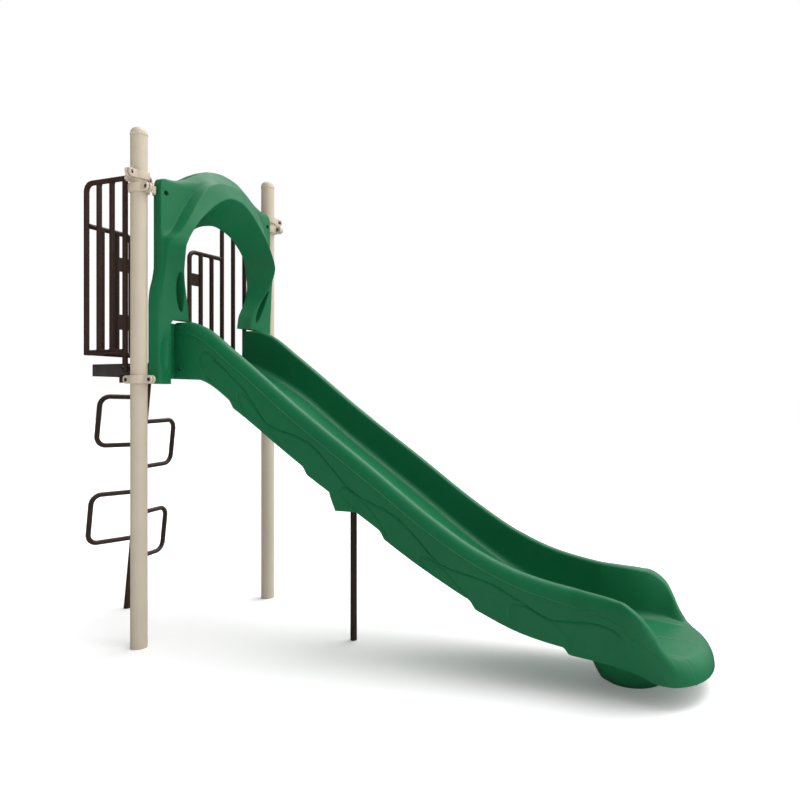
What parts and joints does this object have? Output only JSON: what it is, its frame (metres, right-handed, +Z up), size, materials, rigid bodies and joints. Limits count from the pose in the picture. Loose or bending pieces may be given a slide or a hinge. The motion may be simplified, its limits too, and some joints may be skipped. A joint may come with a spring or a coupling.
{
  "type": "playground wave slide",
  "caption": "Free-standing playground slide: wavy moulded chute, arched entry hood, barriered deck between two posts, and a central-pole loop ladder.",
  "frame": {"origin": "ground level, at the middle of the whole object's box in plan", "axes": "+X the way a child slides, from the ladder to the exit; +Y to the sliding child's left; +Z up"},
  "size_m": [3.8658, 1.31, 2.968],
  "materials": {
    "beige_powder_coat": "satin powder coat",
    "brown_powder_coat": "semi-gloss powder coat",
    "deck_coating": "matte dipped coating on a perforated steel pan",
    "green_moulding": "semi-gloss moulded polyethylene",
    "fasteners": "zinc plated"
  },
  "bodies": {
    "root": {"barrier_clamp_bolt_left": "fasteners", "barrier_clamp_bolt_right": "fasteners", "barrier_clamp_front_left": "beige_powder_coat", "barrier_clamp_front_right": "beige_powder_coat", "barrier_clamp_rear_left": "beige_powder_coat", "barrier_clamp_rear_right": "beige_powder_coat", "barrier_foot_bolt_left": "fasteners", "barrier_foot_bolt_right": "fasteners", "chute": "green_moulding", "chute_bolt_left": "fasteners", "chute_bolt_right": "fasteners", "chute_bracket_left": "brown_powder_coat", "chute_bracket_right": "brown_powder_coat", "chute_foot": "green_moulding", "chute_side_bolt_left": "fasteners", "chute_side_bolt_right": "fasteners", "deck": "deck_coating", "deck_bracket_left": "brown_powder_coat", "deck_bracket_right": "brown_powder_coat", "deck_clamp_front_bolt_left": "fasteners", "deck_clamp_front_bolt_right": "fasteners", "deck_clamp_inner_left": "beige_powder_coat", "deck_clamp_inner_right": "beige_powder_coat", "deck_clamp_outer_left": "beige_powder_coat", "deck_clamp_outer_right": "beige_powder_coat", "deck_clamp_rear_bolt_left": "fasteners", "deck_clamp_rear_bolt_right": "fasteners", "hood": "green_moulding", "hood_bolt_left": "fasteners", "hood_bolt_right": "fasteners", "hood_bracket_left": "beige_powder_coat", "hood_bracket_right": "beige_powder_coat", "hood_clamp_bolt_left": "fasteners", "hood_clamp_bolt_right": "fasteners", "hood_clamp_inner_left": "beige_powder_coat", "hood_clamp_inner_right": "beige_powder_coat", "hood_clamp_outer_left": "beige_powder_coat", "hood_clamp_outer_right": "beige_powder_coat", "hood_leg_bolt_left": "fasteners", "hood_leg_bolt_right": "fasteners", "ladder_bracket": "brown_powder_coat", "ladder_bracket_bolt_left": "fasteners", "ladder_bracket_bolt_right": "fasteners", "ladder_cross_bolt": "fasteners", "ladder_loop_bottom_left": "brown_powder_coat", "ladder_loop_bottom_right": "brown_powder_coat", "ladder_loop_top_left": "brown_powder_coat", "ladder_loop_top_right": "brown_powder_coat", "ladder_pole": "brown_powder_coat", "leg_saddle": "brown_powder_coat", "leg_saddle_bolt": "fasteners", "post_cap_left": "beige_powder_coat", "post_cap_right": "beige_powder_coat", "post_left": "beige_powder_coat", "post_right": "beige_powder_coat", "rear_barrier_left": "brown_powder_coat", "rear_barrier_right": "brown_powder_coat", "side_barrier_left": "brown_powder_coat", "side_barrier_right": "brown_powder_coat", "support_leg": "brown_powder_coat"}
  },
  "joints": []
}
